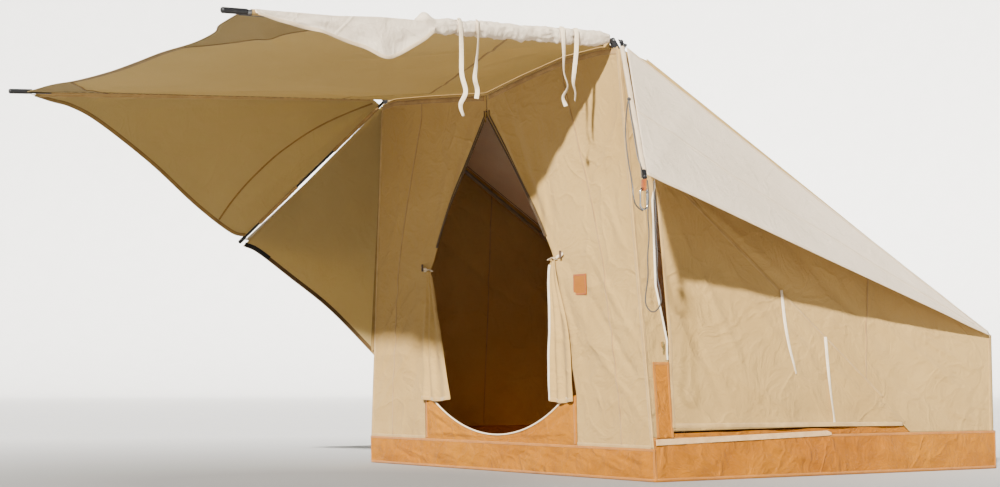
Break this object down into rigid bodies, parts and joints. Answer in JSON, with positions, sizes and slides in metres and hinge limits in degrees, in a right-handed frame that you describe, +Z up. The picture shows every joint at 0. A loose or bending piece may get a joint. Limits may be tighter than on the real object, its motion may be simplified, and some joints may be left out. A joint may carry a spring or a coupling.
{
  "type": "frame tent",
  "caption": "Canvas frame tent with a tall door front, sloping roof, low rear wall, hinged front canopy, side wings and a coloured groundsheet tub.",
  "frame": {"origin": "centre of the groundsheet's underside, on the ground", "axes": "+X to the right seen from the front, +Y from the front wall to the low rear wall, +Z up"},
  "size_m": [3.4717, 4.5906, 2.1573],
  "materials": {
    "canvas": "woven cotton canvas, matt",
    "pale_canvas": "lighter canvas, inner face",
    "orange_pvc": "coated groundsheet cloth, slightly glossy",
    "orange_web": "webbing and patch",
    "white_tape": "cotton tape",
    "rope": "braided cord",
    "tube_steel": "satin powder coat",
    "hub_plastic": "moulded",
    "black_plastic": "moulded",
    "foot_rubber": "moulded",
    "toggle_wood": "turned, oiled",
    "bright_steel": "polished",
    "zip_brass": "cast"
  },
  "bodies": {
    "root": {"badge_patch": "orange_web", "button_springs": "bright_steel", "canopy_hinge_pins": "bright_steel", "corner_post_patch": "orange_pvc", "door_sill": "orange_pvc", "door_ties": "white_tape", "door_toggles": "toggle_wood", "foot_cups": "foot_rubber", "front_legs_lower": "tube_steel", "front_legs_upper": "tube_steel", "front_wall_left": "canvas", "front_wall_right": "canvas", "groundsheet_floor": "orange_pvc", "rafters": "tube_steel", "rear_bar": "tube_steel", "rear_hubs": "hub_plastic", "rear_legs": "tube_steel", "rear_wall": "canvas", "ridge_bar": "tube_steel", "ridge_hub_left": "hub_plastic", "ridge_hub_right": "hub_plastic", "roof": "canvas", "side_sill": "orange_pvc", "side_strip_right": "canvas", "side_wall_left": "canvas", "side_wall_right": "canvas", "skirt_binding": "pale_canvas", "skirt_front": "orange_pvc", "skirt_left": "orange_pvc", "skirt_rear": "orange_pvc", "skirt_right": "orange_pvc", "windbreak_left": "canvas", "wing_fly_left": "canvas", "wing_strut_left": "black_plastic", "wing_tip_left": "black_plastic"},
    "canopy": {"canopy": "canvas", "canopy_side_left": "canvas", "canopy_side_roll": "pale_canvas", "canopy_side_loose_end": "pale_canvas", "roll_ties": "white_tape", "canopy_arms": "tube_steel", "canopy_tips": "black_plastic"},
    "wing_right": {"wing_fly_right": "canvas", "wing_strut_right": "black_plastic", "wing_tip_right": "black_plastic", "wing_tab": "orange_web", "snap_hook": "bright_steel", "rope_knot": "rope", "guy_rope_short": "rope", "guy_rope_long": "rope", "guy_rope_hank": "rope"},
    "hook_gate": {"snap_hook_gate": "bright_steel"},
    "side_flap": {"side_flap": "canvas", "side_flap_ties": "white_tape"},
    "door_flap_left": {"door_flap_left": "canvas"},
    "door_flap_right": {"door_flap_right": "canvas"},
    "door_zip_slider": {"door_zip_slider": "zip_brass"},
    "side_zip_slider": {"side_zip_slider": "zip_brass"},
    "leg_button_left": {"leg_button_left": "bright_steel"},
    "leg_button_right": {"leg_button_right": "bright_steel"}
  },
  "joints": [
    {"name": "canopy_tilt", "type": "hinge", "parent": "root", "child": "canopy", "pos_m": [1.057, -1.255, 2.098], "axis": [1, 0, 0], "range_deg": [0, 60], "deforming": ["canopy_side_left", "roll_ties"]},
    {"name": "wing_swing", "type": "hinge", "parent": "root", "child": "wing_right", "pos_m": [1.087, -1.243, 2.1], "axis": [0.0698, 0.8663, -0.4946], "range_deg": [-15, 15]},
    {"name": "hook_gate_turn", "type": "hinge", "parent": "wing_right", "child": "hook_gate", "pos_m": [1.745, -1.651, 1.2353], "axis": [-1, 0, 0], "range_deg": [0, 22], "stiffness_Nm_per_rad": 0.04, "springref_deg": -5.73},
    {"name": "side_flap_swing", "type": "hinge", "parent": "root", "child": "side_flap", "pos_m": [1.14177, -1.07, 1.54], "axis": [-0.063, -0.7744, 0.6296], "range_deg": [0, 30]},
    {"name": "door_left_swing", "type": "hinge", "parent": "root", "child": "door_flap_left", "pos_m": [-0.608, -1.2235, 1.04979], "axis": [-0.1114, 0.026, -0.9934], "range_deg": [0, 70]},
    {"name": "door_right_swing", "type": "hinge", "parent": "root", "child": "door_flap_right", "pos_m": [0.548, -1.2235, 1.04979], "axis": [-0.1966, -0.0257, 0.9801], "range_deg": [0, 70]},
    {"name": "door_zip_slide", "type": "slide", "parent": "root", "child": "door_zip_slider", "axis": [0, -0.0262, 0.9997], "range_m": [0, 0.09]},
    {"name": "side_zip_slide", "type": "slide", "parent": "root", "child": "side_zip_slider", "axis": [-0.0917, 0, 0.9958], "range_m": [0, 0.12]},
    {"name": "leg_button_right_press", "type": "slide", "parent": "root", "child": "leg_button_right", "axis": [0.0023, -0.9996, -0.027], "range_m": [0, 0.004], "stiffness_N_per_m": 600, "springref_m": -0.001, "deforming": ["button_springs"]},
    {"name": "leg_button_left_press", "type": "slide", "parent": "root", "child": "leg_button_left", "axis": [-0.0023, -0.9996, -0.027], "range_m": [0, 0.004], "stiffness_N_per_m": 600, "springref_m": -0.001, "deforming": ["button_springs"]}
  ]
}
